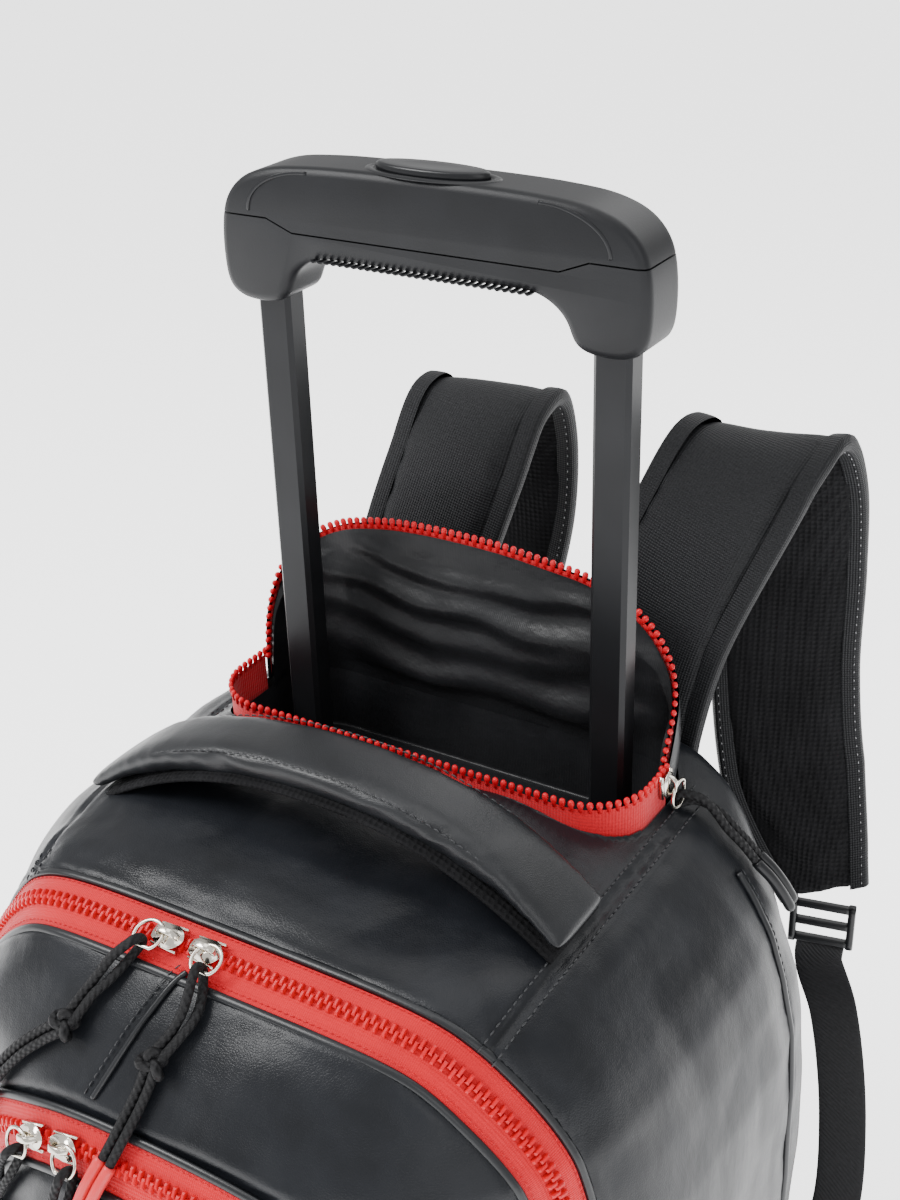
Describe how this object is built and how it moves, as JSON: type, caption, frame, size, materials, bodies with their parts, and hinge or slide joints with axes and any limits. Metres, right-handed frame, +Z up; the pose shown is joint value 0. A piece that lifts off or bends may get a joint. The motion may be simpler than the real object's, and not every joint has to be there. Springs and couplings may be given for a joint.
{
  "type": "wheeled backpack",
  "caption": "Soft black backpack on wheels, with a pull handle raised from a zipped pouch, padded shoulder straps, a padded carry handle and red zips with cord pulls.",
  "frame": {"origin": "centre of the bag's outline on the floor, under the wheels and front feet", "axes": "+Z up, -Y the bag's front with the pocket, +Y the back with the shoulder straps, +X the bag's right seen from its front"},
  "size_m": [0.3808, 0.4132, 0.7202],
  "materials": {
    "leather": "black smooth synthetic leather with a soft satin sheen",
    "zip_red": "coral red woven tape with moulded teeth",
    "nylon": "black ribbed nylon",
    "mesh": "black air mesh",
    "webbing": "black herringbone webbing",
    "plastic": "black moulded plastic with a fine grain",
    "tube": "satin black aluminium",
    "tyre": "black rubber",
    "steel": "polished nickel",
    "cord": "black braided cord"
  },
  "bodies": {
    "bag": {"bag_shell": "leather", "front_pocket": "leather", "main_zip": "zip_red", "pocket_zip": "zip_red", "trolley_flap": "leather", "pouch_lining": "nylon", "trolley_zip_back": "zip_red", "trolley_zip_front": "zip_red", "carry_handle": "leather", "carry_handle_lining": "mesh", "back_pad": "mesh", "shoulder_strap_right": "nylon", "shoulder_strap_left": "nylon", "ladder_lock_right": "plastic", "ladder_lock_left": "plastic", "lower_webbing_right": "webbing", "lower_webbing_left": "webbing", "fixed_tube_right": "tube", "fixed_tube_left": "tube", "base_moulding": "plastic", "axle_right": "steel", "axle_left": "steel", "front_foot_right": "plastic", "front_foot_left": "plastic", "slider_main_left": "steel", "pull_ring_main_left": "steel", "slider_main_right": "steel", "pull_ring_main_right": "steel", "slider_pocket_left": "steel", "pull_ring_pocket_left": "steel", "slider_pocket_right": "steel", "pull_ring_pocket_right": "steel", "slider_trolley": "steel", "pull_ring_trolley": "steel", "pull_cord_main_left": "cord", "cord_knot_main_left": "cord", "cord_tip_main_left_1": "zip_red", "cord_tip_main_left_2": "zip_red", "pull_cord_main_right": "cord", "cord_knot_main_right": "cord", "cord_tip_main_right_1": "zip_red", "cord_tip_main_right_2": "zip_red", "pull_cord_pocket_left": "cord", "cord_knot_pocket_left": "cord", "cord_tip_pocket_left_1": "zip_red", "cord_tip_pocket_left_2": "zip_red", "pull_cord_pocket_right": "cord", "cord_knot_pocket_right": "cord", "cord_tip_pocket_right_1": "zip_red", "cord_tip_pocket_right_2": "zip_red", "pull_cord_trolley": "cord", "cord_tip_trolley_1": "zip_red", "cord_tip_trolley_2": "zip_red"},
    "pull_handle": {"sliding_tube_right": "tube", "sliding_tube_left": "tube", "grip_lower": "plastic", "grip_upper": "plastic"},
    "push_button": {"push_button": "plastic"},
    "wheel_right": {"wheel_right": "tyre"},
    "wheel_left": {"wheel_left": "tyre"}
  },
  "joints": [
    {"name": "handle_slide", "type": "slide", "parent": "bag", "child": "pull_handle", "axis": [0, 0, 1], "range_m": [-0.2, 0]},
    {"name": "button_press", "type": "slide", "parent": "pull_handle", "child": "push_button", "axis": [0, 0, -1], "range_m": [0, 0.0026], "stiffness_N_per_m": 600, "springref_m": -0.003},
    {"name": "wheel_right_spin", "type": "hinge", "parent": "bag", "child": "wheel_right", "pos_m": [0.148, 0.07342, 0.035], "axis": [1, 0, 0], "continuous": true},
    {"name": "wheel_left_spin", "type": "hinge", "parent": "bag", "child": "wheel_left", "pos_m": [-0.148, 0.07342, 0.035], "axis": [1, 0, 0], "continuous": true}
  ]
}
